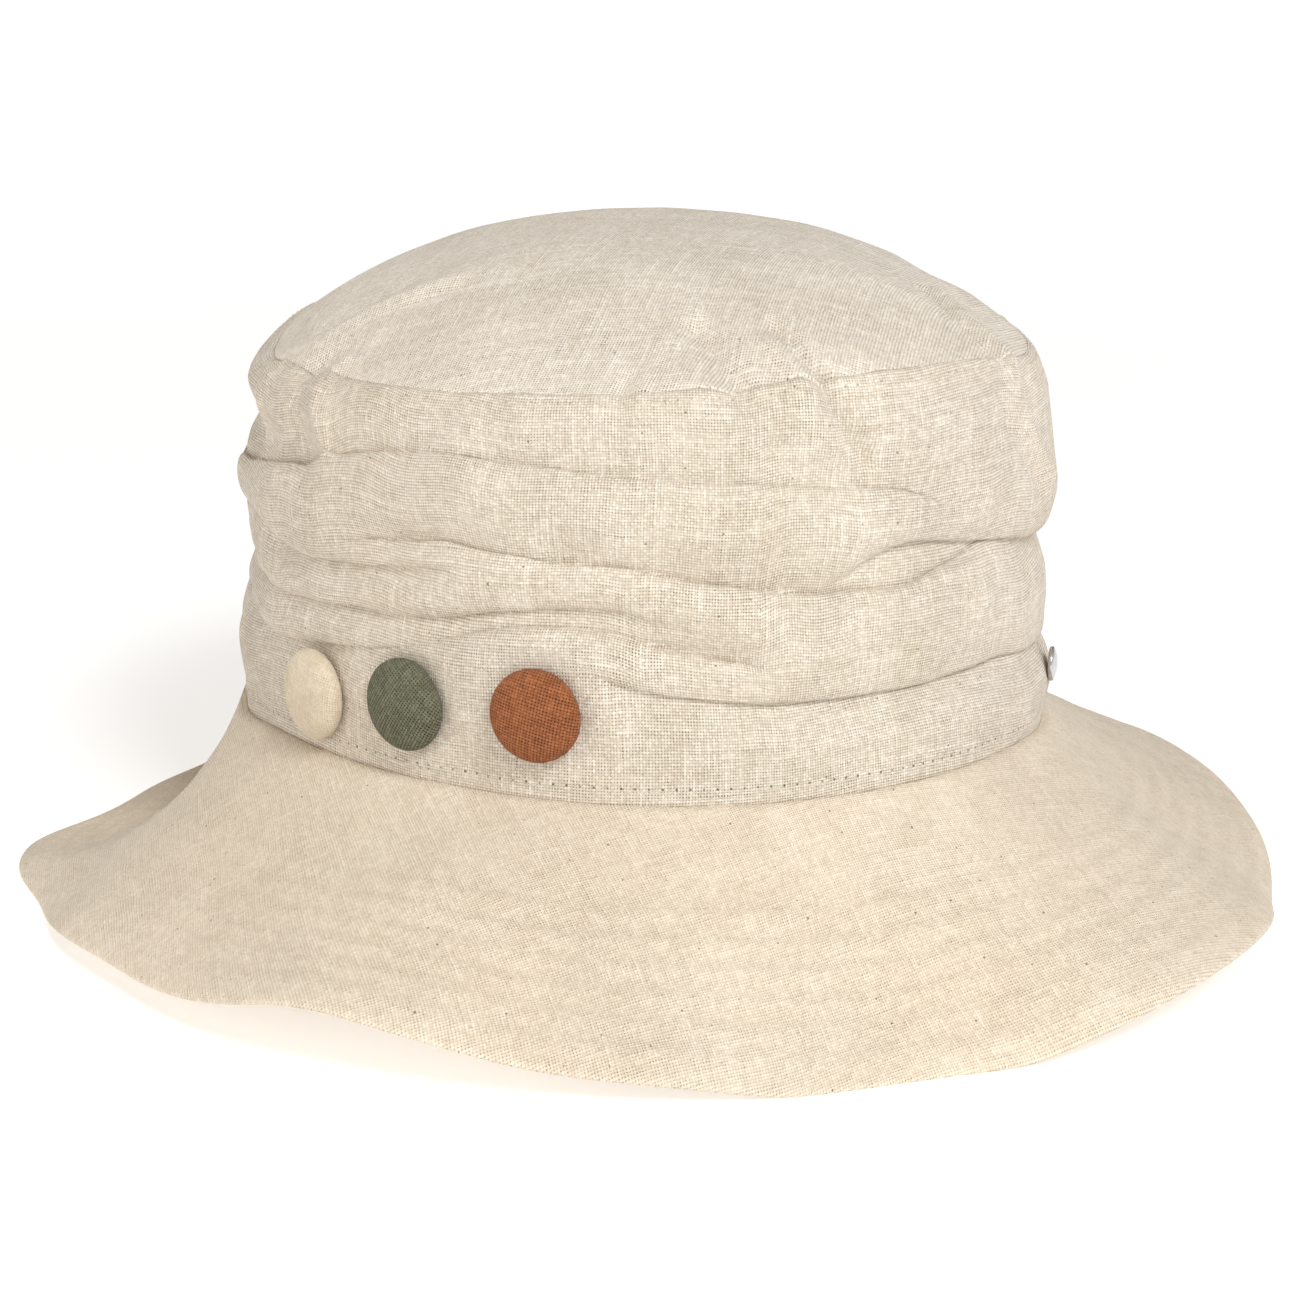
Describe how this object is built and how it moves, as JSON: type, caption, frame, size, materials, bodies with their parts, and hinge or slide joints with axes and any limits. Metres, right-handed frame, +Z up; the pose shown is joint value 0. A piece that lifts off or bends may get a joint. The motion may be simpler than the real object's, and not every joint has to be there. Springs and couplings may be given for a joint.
{
  "type": "cloth bucket hat with covered buttons",
  "caption": "Soft cloth bucket hat: a domed crown pushed into rolls, a wide stitched wavy brim, covered buttons above the brim seam and a small plain metal stud at one side.",
  "frame": {"origin": "on the ground under the middle of the hat's bounding box, the brim resting on z = 0", "axes": "+Z up, -Y the wearer's front, +X the wearer's left; the hat is longest along Y and lowest along Z"},
  "size_m": [0.2866, 0.3034, 0.1441],
  "materials": {
    "crown_cloth": "open plain weave of natural unbleached cotton and linen, matt",
    "brim_cloth": "close plain weave, unbleached, flecked, with rows of stitching",
    "cream_cloth": "plain weave stretched over a button",
    "green_cloth": "grey-green plain weave stretched over a button",
    "terracotta_cloth": "terracotta plain weave stretched over a button",
    "stud_steel": "polished, plain"
  },
  "bodies": {
    "root": {"crown_top": "crown_cloth", "crown_side": "crown_cloth", "brim": "brim_cloth", "button_cream": "cream_cloth", "button_green": "green_cloth", "button_terracotta": "terracotta_cloth", "metal_stud": "stud_steel"}
  },
  "joints": []
}
